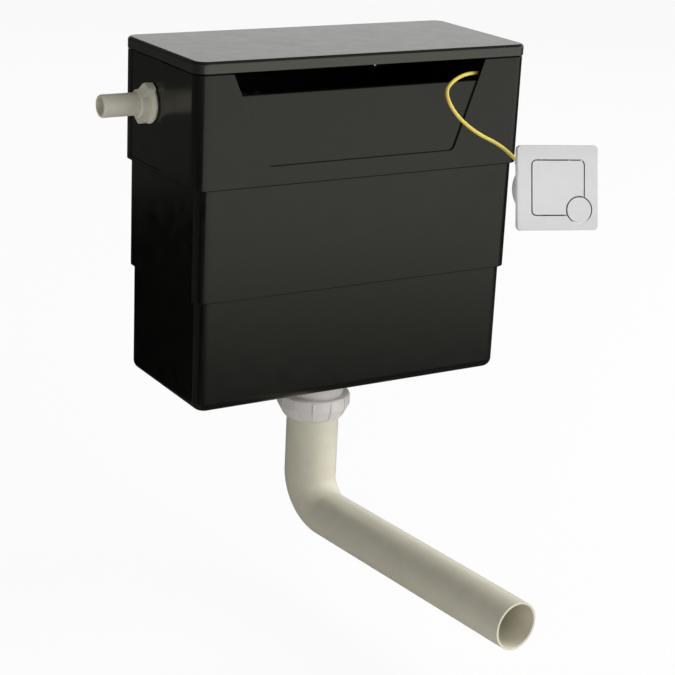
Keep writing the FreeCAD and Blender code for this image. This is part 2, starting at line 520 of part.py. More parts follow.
# Cage over the seat with windows for the water and a guide for the lifting tube
GUIDE = "tube / 2 + guide_clearance"
cage = body("valve_cage", *OUTLET)
turned(cage, "profile", (
    ("cage / 2 - cage_wall", DECK), ("cage / 2 + 1", DECK), ("cage / 2 + 1", "%s + 10" % DECK),
    ("cage / 2", "%s + 10" % DECK), ("cage / 2", "cage_top"), (GUIDE + " + guide_wall", "cage_top + 10"),
    (GUIDE + " + guide_wall", "guide_top"), (GUIDE, "guide_top"), (GUIDE, "cage_top + 7"),
    ("cage / 2 - cage_wall", "cage_top - 3")))
drawn = sketch(cage, "window", "XZ_Plane", "tube / 2 + 2")
soft_box(drawn, "-window_wide / 2", "window_low", "window_wide / 2", "window_high", "cage_wall")
patterned(cage, pocket(drawn, "cage / 2", back=True), "coupling_ribs / 3")

# Lifting overflow tube with its seal and float
DISC = "(%s + seal_thick)" % LIP
tube = body("overflow_tube", *OUTLET)
turned(tube, "profile", (
    ("tube / 2 - tube_wall", DISC), ("disc_wide / 2", DISC), ("disc_wide / 2", "%s + disc_thick" % DISC),
    ("tube / 2", "%s + disc_thick" % DISC), ("tube / 2", "collar_height"),
    ("collar_wide / 2", "collar_height"), ("collar_wide / 2", "collar_height + collar_thick"),
    ("tube / 2", "collar_height + collar_thick"),
    ("tube / 2", "tube_top"), ("tube / 2 - tube_wall", "tube_top")))
flush_seal = body("flush_seal", *OUTLET)
ring(flush_seal, "profile", "tube / 2 - tube_wall", "seal_wide / 2", LIP, DISC)
lift_float = body("lift_float", *OUTLET)
FLOAT_OUT = "lift_float_wide / 2"
turned(lift_float, "profile", (
    ("tube / 2", "lift_float_low"), ("tube / 2 + float_wall", "lift_float_low"),
    ("tube / 2 + float_wall", "lift_float_high - float_wall"),
    (FLOAT_OUT + " - float_wall", "lift_float_high - float_wall"),
    (FLOAT_OUT + " - float_wall", "lift_float_low"), (FLOAT_OUT, "lift_float_low"),
    (FLOAT_OUT, "lift_float_high"), ("tube / 2", "lift_float_high")))

# Bracket clipped on the guide: a block with two cheeks for the crank pin and a stop for the cable
GUIDE_OUT = GUIDE + " + guide_wall"
CHEEK = "cheek_gap / 2"
bracket = body("cable_bracket", *OUTLET)
ring(bracket, "clip", GUIDE_OUT, GUIDE_OUT + " + bracket_clip", "bracket_low", "guide_top")
drawn = sketch(bracket, "beam", "XY_Plane", "bracket_low")
box(drawn, GUIDE_OUT + " + bracket_clip / 2", "-%s - cheek_thick" % CHEEK, "bracket_reach",
    "%s + cheek_thick" % CHEEK)
pad(drawn, "guide_top - bracket_low")
for side, name in (("", "cheek_front"), ("-", "cheek_back")):
    drawn = sketch(bracket, name, "XZ_Plane", "%s(%s)" % (side, CHEEK))
    outline(drawn, (("pivot_out - 6", "guide_top - 1"), ("bracket_reach", "guide_top - 1"),
                    ("bracket_reach", "pivot_height + lift_arm + 6"),
                    ("bracket_reach - stop_thick - 4", "pivot_height + lift_arm + 6"),
                    ("pivot_out + 6", "pivot_height + 6"), ("pivot_out - 6", "pivot_height + 6")))
    pad(drawn, "cheek_thick", back=bool(side))
drawn = sketch(bracket, "stop", "YZ_Plane", "bracket_reach - stop_thick")
box(drawn, "-%s - 1" % CHEEK, "guide_top - 1", "%s + 1" % CHEEK, "pivot_height + lift_arm + 6")
pad(drawn, "stop_thick")
drawn = circle(sketch(bracket, "stop_hole", "YZ_Plane", "bracket_reach"), "ferrule_stub / 2", "0",
               "pivot_height + lift_arm")
pocket(drawn, "2 * stop_thick")
drawn = circle(sketch(bracket, "pin_hole", "XZ_Plane"), "crank_pin / 2", "pivot_out", "pivot_height")
pocket(drawn, "2 * cheek_gap", both=True)

# Lift crank: a fork under the tube's collar and two slotted arms for the wire nipple
CRANK = ("pivot_out", "-outlet_setback", "pivot_height")
FORK_TOP = "(collar_height - pivot_height - running_gap * 5)"
ROOT = "(cheek_gap / 2 - side_play)"
PRONG_IN = "(tube / 2 + prong_gap)"
PRONG_OUT = "(tube / 2 + prong_gap + prong_wide)"
crank = body("lift_crank", *CRANK)
drawn = sketch(crank, "fork", "XY_Plane", FORK_TOP)
outline(drawn, (
    ("0", "-%s" % ROOT), ("0", ROOT), ("-fork_neck", ROOT), ("-fork_neck - 1", PRONG_OUT),
    ("-pivot_out", PRONG_OUT), ("-pivot_out", PRONG_IN), ("-fork_neck - fork_web", PRONG_IN),
    ("-fork_neck - fork_web", "-%s" % PRONG_IN), ("-pivot_out", "-%s" % PRONG_IN),
    ("-pivot_out", "-%s" % PRONG_OUT), ("-fork_neck - 1", "-%s" % PRONG_OUT), ("-fork_neck", "-%s" % ROOT)))
pad(drawn, "4", back=True)
drawn = circle(sketch(crank, "boss", "XZ_Plane"), "crank_pin")
pad(drawn, "2 * %s" % ROOT, both=True)
NIPPLE_SLOT = "(nipple / 2 + 0.6)"
for side, name in (("", "arm_front"), ("-", "arm_back")):
    drawn = sketch(crank, name, "XZ_Plane", "%s(cable)" % side)
    outline(drawn, (("-crank_pin - 1.5", "0"), ("crank_pin + 1.5", "0"),
                    ("crank_pin + 1.5", "lift_arm + nipple / 2"), (NIPPLE_SLOT, "lift_arm + nipple / 2"),
                    (NIPPLE_SLOT, "lift_arm - nipple / 2"), ("-%s" % NIPPLE_SLOT, "lift_arm - nipple / 2"),
                    ("-%s" % NIPPLE_SLOT, "lift_arm + nipple / 2"),
                    ("-crank_pin - 1.5", "lift_arm + nipple / 2")))
    pad(drawn, "%s - cable" % ROOT, back=bool(side))
drawn = circle(sketch(crank, "pin_hole", "XZ_Plane"), "crank_pin / 2 + running_gap")
pocket(drawn, "2 * cheek_gap", both=True)
lift_pin = body("lift_crank_pin", *CRANK, Rotation(Vector(1, 0, 0), 90))
pad(circle(sketch(lift_pin, "shank", "XY_Plane"), "crank_pin / 2"), "cheek_gap + 2 * cheek_thick",
    both=True)

# Coupling nut, sealing ring and the bent flush pipe under the tank
SEAL_LOW = "(tail_end + pipe_seal)"
COLLAR_LOW = "(%s + collar_lip)" % SEAL_LOW
NUT_LOW = "(%s + coupling_lip)" % COLLAR_LOW
coupling = body("coupling_nut", *OUTLET)
turned(coupling, "profile", (
    (TAIL + " + thread_clearance", "-coupling_top"), ("coupling / 2 - 1", "-coupling_top"),
    ("coupling / 2", "-coupling_top - 1"), ("coupling / 2", "-coupling_top - coupling_straight"),
    ("coupling_foot / 2 + 1.5", "2 - %s" % NUT_LOW), ("coupling_foot / 2", "-%s" % NUT_LOW),
    ("pipe / 2 + pipe_clearance", "-%s" % NUT_LOW), ("pipe / 2 + pipe_clearance", "-%s" % COLLAR_LOW),
    (TAIL + " + thread_clearance", "-%s" % COLLAR_LOW)))
drawn = sketch(coupling, "rib", "XZ_Plane")
outline(drawn, (
    ("coupling / 2 - 2", "-coupling_top - 1.5"), ("coupling / 2 + 0.8", "-coupling_top - 1.5"),
    ("coupling / 2 + 0.8", "-coupling_top - coupling_straight"),
    ("coupling_foot / 2 + 2", "2 - %s" % NUT_LOW),
    ("coupling_foot / 2", "2 - %s" % NUT_LOW)))
patterned(coupling, pad(drawn, "coupling_rib", both=True), "coupling_ribs")
pipe_seal = body("pipe_seal", *OUTLET)
ring(pipe_seal, "profile", "tail_bore / 2", TAIL, "-%s" % SEAL_LOW, "-tail_end")
swing = Rotation(Vector(0, 0, 1), number("pipe_swing"))
pipe = body("flush_pipe", *OUTLET, swing)
ELBOW_TOP = "(bend_radius - pipe_drop)"


def bend(kind, name, thinner):
    """Quarter bend from the down leg's section to the narrower level leg's section."""
    start = circle(sketch(pipe, name + "_start", "XY_Plane", ELBOW_TOP), "pipe / 2 - %s" % thinner)
    end = circle(sketch(pipe, name + "_end", "XZ_Plane", "bend_radius"), "pipe_leg / 2 - %s" % thinner, "0",
                 "-pipe_drop")
    spine = sketch(pipe, name + "_spine", "YZ_Plane")
    radius = number("bend_radius")
    hub = Part.Circle(Vector(-radius, number(ELBOW_TOP), 0), Vector(0, 0, 1), radius)
    spine.addGeometry(Part.ArcOfCircle(hub, math.radians(-90), 0), False)
    pin_point(spine, 0, 1, "-bend_radius", "-pipe_drop")
    pin_point(spine, 0, 3, "-bend_radius", ELBOW_TOP)
    held(spine, Sketcher.Constraint("DistanceY", -1, 1, 0, 2, number(ELBOW_TOP)), ELBOW_TOP)
    doc.recompute()
    made = pipe.newObject("PartDesign::" + kind, "flush_pipe_" + name)
    made.Profile = start
    made.Spine = (spine, ["Edge1"])
    made.Transformation = "Multisection"
    made.Sections = [(end, [""])]


drawn = circle(sketch(pipe, "collar", "XY_Plane", "-%s" % COLLAR_LOW), "pipe_collar / 2")
pad(drawn, "collar_lip")
drawn = circle(sketch(pipe, "down_leg", "XY_Plane", ELBOW_TOP), "pipe / 2")
pad(drawn, "-%s - %s" % (SEAL_LOW, ELBOW_TOP))
bend("AdditivePipe", "elbow", "0")
drawn = circle(sketch(pipe, "level_leg", "XZ_Plane", "bend_radius"), "pipe_leg / 2", "0", "-pipe_drop")
pad(drawn, "pipe_reach - bend_radius")
drawn = circle(sketch(pipe, "down_bore", "XY_Plane", ELBOW_TOP), "pipe / 2 - pipe_wall")
pocket(drawn, "-%s - %s" % (SEAL_LOW, ELBOW_TOP), back=True)
bend("SubtractivePipe", "elbow_bore", "pipe_wall")
drawn = circle(sketch(pipe, "level_bore", "XZ_Plane", "bend_radius"), "pipe_leg / 2 - pipe_wall", "0",
               "-pipe_drop")
pocket(drawn, "pipe_reach - bend_radius", back=True)

# Flush plate and its two buttons, drawn on the back of the plate with the face along +Z
face_turn = (Rotation(Vector(0, 0, 1), number("plate_yaw"))
             * Rotation(Vector(1, 0, 0), number("plate_lean"))
             * Rotation(Vector(0, 0, 1), number("plate_roll")))
works_turn = face_turn * Rotation(Vector(0, 0, 1), 135)
FACE = ("plate_x", "-plate_y", "plate_z", face_turn)
WORKS = ("plate_x", "-plate_y", "plate_z", works_turn)


def square(drawn, half, radius):
    return soft_box(drawn, "-(%s)" % half, "-(%s)" % half, half, half, radius)


plate = body("flush_plate", *FACE)
pad(square(sketch(plate, "outside", "XY_Plane"), "plate_side / 2", "plate_round"), "plate_thick")
eased_outline(plate, "plate_thick", False, "plate_edge")
drawn = square(sketch(plate, "hollow", "XY_Plane"), "plate_side / 2 - plate_wall",
               "plate_round - plate_wall")
pocket(drawn, "plate_thick - plate_wall", back=True)
drawn = square(sketch(plate, "square_hole", "XY_Plane", "plate_thick"), "button_side / 2 + button_gap",
               "button_round + button_gap")
pocket(drawn, "2 * plate_wall")
drawn = circle(sketch(plate, "round_hole", "XY_Plane", "plate_thick"), "half_round / 2 + button_gap",
               "half_offset", "-half_offset")
pocket(drawn, "2 * plate_wall")
BUTTON_TOP = "plate_thick + button_proud"
full = body("full_flush_button", *FACE)
pad(square(sketch(full, "cap", "XY_Plane", "button_low"), "button_side / 2", "button_round"),
    BUTTON_TOP + " - button_low")
drawn = circle(sketch(full, "bite", "XY_Plane", BUTTON_TOP), "half_round / 2 + button_gap", "half_offset",
               "-half_offset")
pocket(drawn, "plate_thick")
eased_outline(full, BUTTON_TOP, False, "button_edge")
drawn = circle(sketch(full, "stem", "XY_Plane", "-stem_end"), "full_stem / 2", "-full_at / sqrt(2)",
               "full_at / sqrt(2)")
pad(drawn, "stem_end + button_low + button_proud")
eased(full, lambda edge: level_edge(edge, "-stem_end"), "full_stem * 0.45")
half = body("half_flush_button", *FACE)
drawn = circle(sketch(half, "cap", "XY_Plane", "button_low"), "half_round / 2", "half_offset",
               "-half_offset")
pad(drawn, BUTTON_TOP + " - button_low")
eased_outline(half, BUTTON_TOP, False, "button_edge")
drawn = circle(sketch(half, "stem", "XY_Plane", "-stem_end"), "half_stem / 2", "half_at / sqrt(2)",
               "-half_at / sqrt(2)")
pad(drawn, "stem_end + button_low + button_proud")
eased(half, lambda edge: level_edge(edge, "-stem_end"), "half_stem * 0.45")

# Button housing: barrel with a deck, spring wells and lever cheeks on the plate's diagonal
BARREL_OUT = "housing / 2"
BARREL_IN = "(housing / 2 - housing_wall)"
housing = body("button_housing", *WORKS)
turned(housing, "profile", (
    ("0", "0"), (BARREL_OUT, "0"), (BARREL_OUT, "-housing_length"), (BARREL_IN, "-housing_length"),
    (BARREL_IN, "-deck"), ("0", "-deck")))


def diamond(drawn, side):
    reach = "(%s) / sqrt(2)" % side
    return outline(drawn, ((reach, "0"), ("0", reach), ("-" + reach, "0"), ("0", "-" + reach)))


pad(diamond(sketch(housing, "frame", "XY_Plane"), "frame_side"), "frame_thick")
drawn = diamond(sketch(housing, "frame_hole", "XY_Plane", "frame_thick"), "button_side + 2 * button_gap")
pocket(drawn, "frame_thick")
drawn = circle(sketch(housing, "frame_bite", "XY_Plane", "frame_thick"), "half_round / 2 + 2 * button_gap",
               "-half_offset * sqrt(2)")
pocket(drawn, "frame_thick")
for name, at, well, stem in (("full", "full_at", "full_well", "full_stem"),
                             ("half", "-half_at", "half_well", "half_stem")):
    drawn = circle(sketch(housing, name + "_post", "XY_Plane", "-well_floor - well_floor_thick"),
                   "%s / 2 + well_wall" % well, at)
    pad(drawn, "well_floor + well_floor_thick - deck / 2")
    pocket(circle(sketch(housing, name + "_well", "XY_Plane"), "%s / 2" % well, at), "well_floor")
    drawn = circle(sketch(housing, name + "_guide", "XY_Plane", "-well_floor"),
                   "%s / 2 + stem_clearance" % stem, at)
    pocket(drawn, "2 * well_floor_thick")
for side, name in (("", "cheek_one"), ("-", "cheek_two")):
    drawn = sketch(housing, name, "XZ_Plane", "%s(lever_gap / 2)" % side)
    soft_box(drawn, "-rocker_at - lever_boss * 0.7", "-pull_depth - lever_boss * 0.7", "lever_boss * 0.7",
             "-deck / 2", "1")
    pad(drawn, "lever_cheek", back=bool(side))
drawn = sketch(housing, "pin_holes", "XZ_Plane")
circle(drawn, "lever_pin / 2", "0", "-pull_depth")
circle(drawn, "lever_pin / 2", "-rocker_at", "-pull_depth")
pocket(drawn, "2 * lever_gap", both=True)
drawn = sketch(housing, "screw_posts", "XY_Plane", "-housing_length")
circle(drawn, "cap_screw", "0", "cap_screw_at")
circle(drawn, "cap_screw", "0", "-cap_screw_at")
pad(drawn, "housing_length / 3")
drawn = sketch(housing, "screw_holes", "XY_Plane", "-housing_length")
circle(drawn, "cap_screw / 2", "0", "cap_screw_at")
circle(drawn, "cap_screw / 2", "0", "-cap_screw_at")
pocket(drawn, "housing_length / 4", back=True)
PULL_LINE = "(-pull_depth - pull_arm)"
drawn = circle(sketch(housing, "gland_hole", "YZ_Plane", BARREL_OUT + " + 1"), "ferrule_stub / 2", "0",
               PULL_LINE)
pocket(drawn, "3 * housing_wall")

# Rear cover of the housing and its two screws
cover = body("housing_cover", *WORKS)
pad(circle(sketch(cover, "disc", "XY_Plane", "-housing_length - cap_disc"), BARREL_OUT), "cap_disc")
drawn = sketch(cover, "holes", "XY_Plane", "-housing_length")
circle(drawn, "cap_screw / 2 + thread_clearance", "0", "cap_screw_at")
circle(drawn, "cap_screw / 2 + thread_clearance", "0", "-cap_screw_at")
pocket(drawn, "2 * cap_disc")
screws = []
for side in ("", "-"):
    screw = body("cover_screw_%s" % ("b" if side else "a"), *WORKS, kept=False)
    drawn = circle(sketch(screw, "shank", "XY_Plane", "-housing_length - cap_disc"), "cap_screw / 2", "0",
                   side + "cap_screw_at")
    pad(drawn, "cap_disc + housing_length / 5")
    drawn = circle(sketch(screw, "head", "XY_Plane", "-housing_length - cap_disc"), "cap_screw", "0",
                   side + "cap_screw_at")
    pad(drawn, "cap_screw * 0.6", back=True)
    screws.append(screw)
cover_screws = doc.addObject("Part::Compound", "cover_screws")
cover_screws.Links = screws
PIECES.append(cover_screws)

# Panel clamp: ring nut on the barrel and a foam ring behind the plate
clamp = body("clamp_nut", *WORKS)
ring(clamp, "profile", BARREL_OUT, "clamp_nut / 2", "-panel_thick - clamp_nut_thick", "-panel_thick")
drawn = sketch(clamp, "lug", "XY_Plane", "-panel_thick - clamp_nut_thick")
box(drawn, "clamp_nut / 2 - 2", "-4", "clamp_nut / 2 + 1.5", "4")
patterned(clamp, pad(drawn, "clamp_nut_thick - 2"), "coupling_ribs / 3")
foam = body("panel_gasket", *WORKS)
ring(foam, "profile", BARREL_OUT + " + 1", "frame_side / 2 - 1", "-panel_gasket", "0")

# Pull crank under the full-flush stem and rocker under the half-flush stem, each on its pin
PAD_TOP = "(-stem_end - running_gap * 5)"
LEVER = "(lever_gap - 2 * side_play)"
pull = body("pull_crank", *WORKS)
drawn = sketch(pull, "input", "XZ_Plane")
outline(drawn, (("0", "-pull_depth - 2.5"), ("full_at + full_stem / 2", "-pull_depth - 0.5"),
                ("full_at + full_stem / 2", PAD_TOP), ("0", PAD_TOP)))
pad(drawn, "full_stem", both=True)
pad(circle(sketch(pull, "boss", "XZ_Plane", "0"), "lever_boss / 2", "0", "-pull_depth"), LEVER, both=True)
for side, name in (("", "arm_one"), ("-", "arm_two")):
    drawn = sketch(pull, name, "XZ_Plane", "%s(cable)" % side)
    outline(drawn, (("-crank_pin - 1.5", "-pull_depth"), ("-crank_pin - 1.5", PULL_LINE + " - nipple / 2"),
                    ("-%s" % NIPPLE_SLOT, PULL_LINE + " - nipple / 2"),
                    ("-%s" % NIPPLE_SLOT, PULL_LINE + " + nipple / 2"),
                    (NIPPLE_SLOT, PULL_LINE + " + nipple / 2"), (NIPPLE_SLOT, PULL_LINE + " - nipple / 2"),
                    ("crank_pin + 1.5", PULL_LINE + " - nipple / 2"), ("crank_pin + 1.5", "-pull_depth")))
    pad(drawn, "%s / 2 - cable" % LEVER, back=bool(side))
drawn = circle(sketch(pull, "pin_hole", "XZ_Plane"), "lever_pin / 2 + running_gap", "0", "-pull_depth")
pocket(drawn, "2 * lever_gap", both=True)
rocker = body("half_flush_rocker", *WORKS)
drawn = sketch(rocker, "bar", "XZ_Plane")
outline(drawn, (("-half_at - half_stem / 2", "-pull_depth - 0.5"), ("-rocker_at", "-pull_depth - 2.5"),
                ("-rocker_at + lever_boss * 0.6", "-pull_depth"),
                ("-rocker_at", PAD_TOP + " - running_gap * 5"),
                ("-half_at - half_stem / 2", PAD_TOP + " - running_gap * 5")))
pad(drawn, "half_stem", both=True)
pad(circle(sketch(rocker, "boss", "XZ_Plane"), "lever_boss / 2 - 0.5", "-rocker_at", "-pull_depth"), LEVER,
    both=True)
drawn = circle(sketch(rocker, "pin_hole", "XZ_Plane"), "lever_pin / 2 + running_gap", "-rocker_at",
               "-pull_depth")
pocket(drawn, "2 * lever_gap", both=True)
for name, at in (("pull_crank_pin", "0"), ("rocker_pin", "-rocker_at")):
    pin = body(name, *WORKS)
    pad(circle(sketch(pin, "shank", "XZ_Plane"), "lever_pin / 2", at, "-pull_depth"),
        "lever_gap + 2 * lever_cheek", both=True)

# Wire ends and ferrules of the pull cable
NIPPLE_LONG = "(2 * %s - 1)" % ROOT
valve_wire = body("valve_wire_end", "pivot_out", "-outlet_setback", "pivot_height + lift_arm")
pad(circle(sketch(valve_wire, "nipple", "XZ_Plane"), "nipple / 2"), NIPPLE_LONG, both=True)
drawn = circle(sketch(valve_wire, "wire", "YZ_Plane"), "wire / 2")
pad(drawn, "bracket_reach - pivot_out + ferrule_flange_thick + ferrule_body / 2")
ferrule = body("valve_ferrule", "bracket_reach", "-outlet_setback", "pivot_height + lift_arm",
               Rotation(Vector(0, 1, 0), 90))
FERRULE_END = "(ferrule_flange_thick + ferrule_body)"
turned(ferrule, "profile", (
    ("wire_bore / 2", "-stop_thick - 1"), ("ferrule_stub / 2", "-stop_thick - 1"),
    ("ferrule_stub / 2", "0"), ("ferrule_flange / 2", "0"), ("ferrule_flange / 2", "ferrule_flange_thick"),
    ("ferrule / 2", "ferrule_flange_thick"), ("ferrule / 2", FERRULE_END), ("wire_bore / 2", FERRULE_END)))
plate_wire = body("plate_wire_end", *WORKS)
pad(circle(sketch(plate_wire, "nipple", "XZ_Plane"), "nipple / 2", "0", PULL_LINE), "%s - 1" % LEVER,
    both=True)
drawn = circle(sketch(plate_wire, "wire", "YZ_Plane"), "wire / 2", "0", PULL_LINE)
pad(drawn, BARREL_OUT + " + ferrule_flange_thick + gland_body / 2")
gland = body("plate_ferrule", *WORKS)
drawn = circle(sketch(gland, "stub", "YZ_Plane", BARREL_OUT + " - gland_stub"), "ferrule_stub / 2", "0",
               PULL_LINE)
pad(drawn, "gland_stub")
drawn = circle(sketch(gland, "flange", "YZ_Plane", BARREL_OUT), "ferrule_flange / 2", "0", PULL_LINE)
pad(drawn, "ferrule_flange_thick")
drawn = circle(sketch(gland, "tip", "YZ_Plane", BARREL_OUT + " + ferrule_flange_thick"), "ferrule / 2", "0",
               PULL_LINE)
pad(drawn, "gland_body")
GLAND_END = BARREL_OUT + " + ferrule_flange_thick + gland_body"
pocket(circle(sketch(gland, "bore", "YZ_Plane", GLAND_END), "wire_bore / 2", "0", PULL_LINE), GLAND_END)

# Springs and cable: round wire along tangent arcs


def arc_between(start, corner, end):
    """Arc that leaves start toward corner and arrives at end from corner."""
    middle = (start + end) * 0.5
    half = (end - start).Length / 2
    rise = corner - middle
    if rise.Length < 1e-6:
        return Part.LineSegment(start, end).toShape()
    tip = middle + rise * (half * math.tan(math.atan2(rise.Length, half) / 2) / rise.Length)
    return Part.Arc(start, tip, end).toShape()


def round_wire(edges, start, along, radius):
    rim = Part.Wire(Part.Circle(start, along, radius).toShape())
    return Part.Wire(edges).makePipeShell([rim], True, False)


def coil(base, radius, length, turns):
    """Centre line of a spring as two arcs to each quarter turn."""
    rise = length / (2 * math.pi * turns)
    edges = []
    for k in range(int(round(turns * 4))):
        ends = []
        for angle in (k * math.pi / 2, (k + 1) * math.pi / 2):
            spot = base + Vector(radius * math.cos(angle), radius * math.sin(angle), rise * angle)
            along = Vector(-radius * math.sin(angle), radius * math.cos(angle), rise).normalize()
            ends.append((spot, along))
        (here, out), (there, arrive) = ends
        span = there - here
        both = out + arrive
        a, b, c = both.dot(both) - 4, -2 * span.dot(both), span.dot(span)
        reach = (-b - math.sqrt(b * b - 4 * a * c)) / (2 * a)
        meet = (here + out * reach + there - arrive * reach) * 0.5
        edges.append(arc_between(here, here + out * reach, meet))
        edges.append(arc_between(meet, there - arrive * reach, there))
    return edges, base + Vector(radius, 0, 0), Vector(0, radius, rise)


def least_gap(edges, thick):
    """Least clear distance from one turn to the next, measured on points of the centre line."""
    spots = [spot for edge in edges for spot in edge.discretize(5)[:-1]]
    half_turn = 16
    gaps = [spot.distanceToPoint(other) for k, spot in enumerate(spots) for other in spots[k + half_turn:]]
    return min(gaps) - thick


def wire_piece(label, shape, x, y, z, turn):
    piece = doc.addObject("Part::Feature", label)
    piece.Label = label
    piece.Shape = shape
    place(piece, x, y, z, turn)
    PIECES.append(piece)
    return piece


for label, well, x, y in (("full_flush_spring", "full_well", "-full_at / sqrt(2)", "full_at / sqrt(2)"),
                          ("half_flush_spring", "half_well", "half_at / sqrt(2)", "-half_at / sqrt(2)")):
    base = Vector(number(x), number(y), number("wire_spring / 2 - well_floor"))
    edges, start, along = coil(base, number("%s / 2 - wire_spring" % well),
                               number("well_floor + button_low - wire_spring"), number("spring_turns"))
    wire_piece(label, round_wire(edges, start, along, number("wire_spring / 2")), *FACE)
    print(label, "least gap", round(least_gap(edges, number("wire_spring")), 2))

# Cable route: valve ferrule, round the right end of the tank, out of the slot, to the plate's ferrule
doc.recompute()
valve_end = Vector(number("bracket_reach + " + FERRULE_END), number("-outlet_setback"),
                   number("pivot_height + lift_arm"))
slot_end = Vector(number(RIGHT_LOW + " + 19"), number("-tank_depth"), number("slot_low"))
works = Placement(Vector(number("plate_x"), number("-plate_y"), number("plate_z")), works_turn)
plate_end = works.multVec(Vector(number(GLAND_END), 0, number(PULL_LINE)))
plate_way = works_turn.multVec(Vector(1, 0, 0))
off = number("stand_off")
route = [
    valve_end, valve_end + Vector(24, 0, 2), valve_end + Vector(48.6, -3.5, 12),
    valve_end + Vector(69.6, -18.5, 27), slot_end + Vector(28, 35, -1.5),
    slot_end + Vector(11, 16.5, 6), slot_end + Vector(-6, 2, 5.8),
    slot_end + Vector(-29, -off - 2, 9.5), slot_end + Vector(-40.7, -off - 3, -15),
    slot_end + Vector(-21, -off - 1, -34), slot_end + Vector(1, -off, -49),
    slot_end + Vector(20, -off, -59), plate_end + plate_way * 17, plate_end]
edges = []
radii = []
last = route[0]
for before, corner, after in zip(route, route[1:], route[2:]):
    come, go = corner - before, after - corner
    cut = 0.45 * min(come.Length, go.Length)
    radii.append(round(cut / math.tan(come.getAngle(go) / 2), 1))
    start = corner - come * (cut / come.Length)
    end = corner + go * (cut / go.Length)
    edges.append(Part.LineSegment(last, start).toShape())
    edges.append(arc_between(start, corner, end))
    last = end
edges.append(Part.LineSegment(last, route[-1]).toShape())
cable_shape = round_wire(edges, route[0], route[1] - route[0], number("cable / 2"))
wire_piece("pull_cable", cable_shape, "0", "0", "0", UP)
length = sum(edge.Length for edge in edges)
section = math.pi * number("cable") ** 2 / 4
print("cable radii", radii, "length", round(length, 1), "volume over section times length",
      round(cable_shape.Volume / (section * length), 4))

# Check every piece, then write one file for each
doc.recompute()
for item in doc.Objects:
    if "Invalid" in item.State or "Error" in item.State:
        raise RuntimeError("not rebuilt: %s %s" % (item.Label, item.State))
for piece in PIECES:
    if piece.Shape.isNull() or not piece.Shape.isValid():
        raise RuntimeError("bad shape: " + piece.Label)
for piece in PIECES:
    piece.Shape.exportStep(os.path.join("parts", piece.Label + ".step"))
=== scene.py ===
import json
import math

import bpy
from mathutils import Matrix, Vector


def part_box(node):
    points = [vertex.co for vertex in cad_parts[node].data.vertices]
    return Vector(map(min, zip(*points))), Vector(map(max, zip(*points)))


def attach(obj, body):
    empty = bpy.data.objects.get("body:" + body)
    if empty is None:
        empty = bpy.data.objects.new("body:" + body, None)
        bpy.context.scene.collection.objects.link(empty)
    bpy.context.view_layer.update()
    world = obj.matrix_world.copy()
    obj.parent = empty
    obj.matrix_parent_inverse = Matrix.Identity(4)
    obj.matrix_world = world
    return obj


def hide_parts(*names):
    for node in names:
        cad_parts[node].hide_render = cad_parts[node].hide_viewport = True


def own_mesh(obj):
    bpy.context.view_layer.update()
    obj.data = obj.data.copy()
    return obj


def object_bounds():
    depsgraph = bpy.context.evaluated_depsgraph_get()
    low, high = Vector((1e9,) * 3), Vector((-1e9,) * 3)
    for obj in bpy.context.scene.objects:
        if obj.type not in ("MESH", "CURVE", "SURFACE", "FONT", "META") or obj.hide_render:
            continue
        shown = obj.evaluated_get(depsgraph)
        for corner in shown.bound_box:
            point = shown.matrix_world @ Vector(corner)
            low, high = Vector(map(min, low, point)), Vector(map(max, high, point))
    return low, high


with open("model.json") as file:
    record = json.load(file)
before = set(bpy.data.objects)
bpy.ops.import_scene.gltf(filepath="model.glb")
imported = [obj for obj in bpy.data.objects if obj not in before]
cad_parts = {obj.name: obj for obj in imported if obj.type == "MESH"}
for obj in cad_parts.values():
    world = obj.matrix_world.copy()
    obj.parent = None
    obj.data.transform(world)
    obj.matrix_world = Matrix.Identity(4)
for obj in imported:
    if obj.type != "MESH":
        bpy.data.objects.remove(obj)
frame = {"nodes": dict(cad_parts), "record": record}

CAD_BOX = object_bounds()
NODES = frame["nodes"]
RECORD = frame["record"]
SCENE = bpy.context.scene
MM = 0.001


# Shader nodes
FULL_RANGE = (0, 1)
NOISE_RANGE = (0.3, 0.7)  # most of a noise texture's values


def shader(name):
    """New material, its node tree and its Principled shader."""
    made = bpy.data.materials.new(name)
    made.use_nodes = True
    tree = made.node_tree
    return made, tree, tree.nodes["Principled BSDF"]


def set_inputs(node, **values):
    """Set a node's inputs by name, with _ for each space."""
    for key, value in values.items():
        node.inputs[key.replace("_", " ")].default_value = value


def add(tree, kind, **values):
    """New node, with its properties and inputs set by name."""
    node = tree.nodes.new("ShaderNode" + kind)
    for key, value in values.items():
        if hasattr(node, key):
            setattr(node, key, value)
        else:
            set_inputs(node, **{key: value})
    return node


def coords(tree, squeeze=(1, 1, 1)):
    """Position on the piece in metres, with patterns squeezed along each axis."""
    scaled = add(tree, "Mapping", Scale=squeeze)
    tree.links.new(add(tree, "TexCoord").outputs["Object"], scaled.inputs["Vector"])
    return scaled.outputs["Vector"]


def noise(tree, where, scale, detail, rough):
    node = add(tree, "TexNoise", Scale=scale, Detail=detail, Roughness=rough)
    tree.links.new(where, node.inputs["Vector"])
    return node.outputs["Fac"]


def spread(tree, value, result, source=NOISE_RANGE):
    """Map a value from the source range to the result range, held at both ends."""
    node = add(tree, "MapRange", From_Min=source[0], From_Max=source[1], To_Min=result[0], To_Max=result[1])
    tree.links.new(value, node.inputs["Value"])
    return node.outputs["Result"]


def inverse(tree, value):
    """1 where the value is 0, and 0 where it is 1."""
    return spread(tree, value, (1, 0), FULL_RANGE)


def reckoned(tree, operation, one, other):
    """Result of a maths operation on two values."""
    node = add(tree, "Math", operation=operation)
    tree.links.new(one, node.inputs[0])
    tree.links.new(other, node.inputs[1])
    return node.outputs[0]


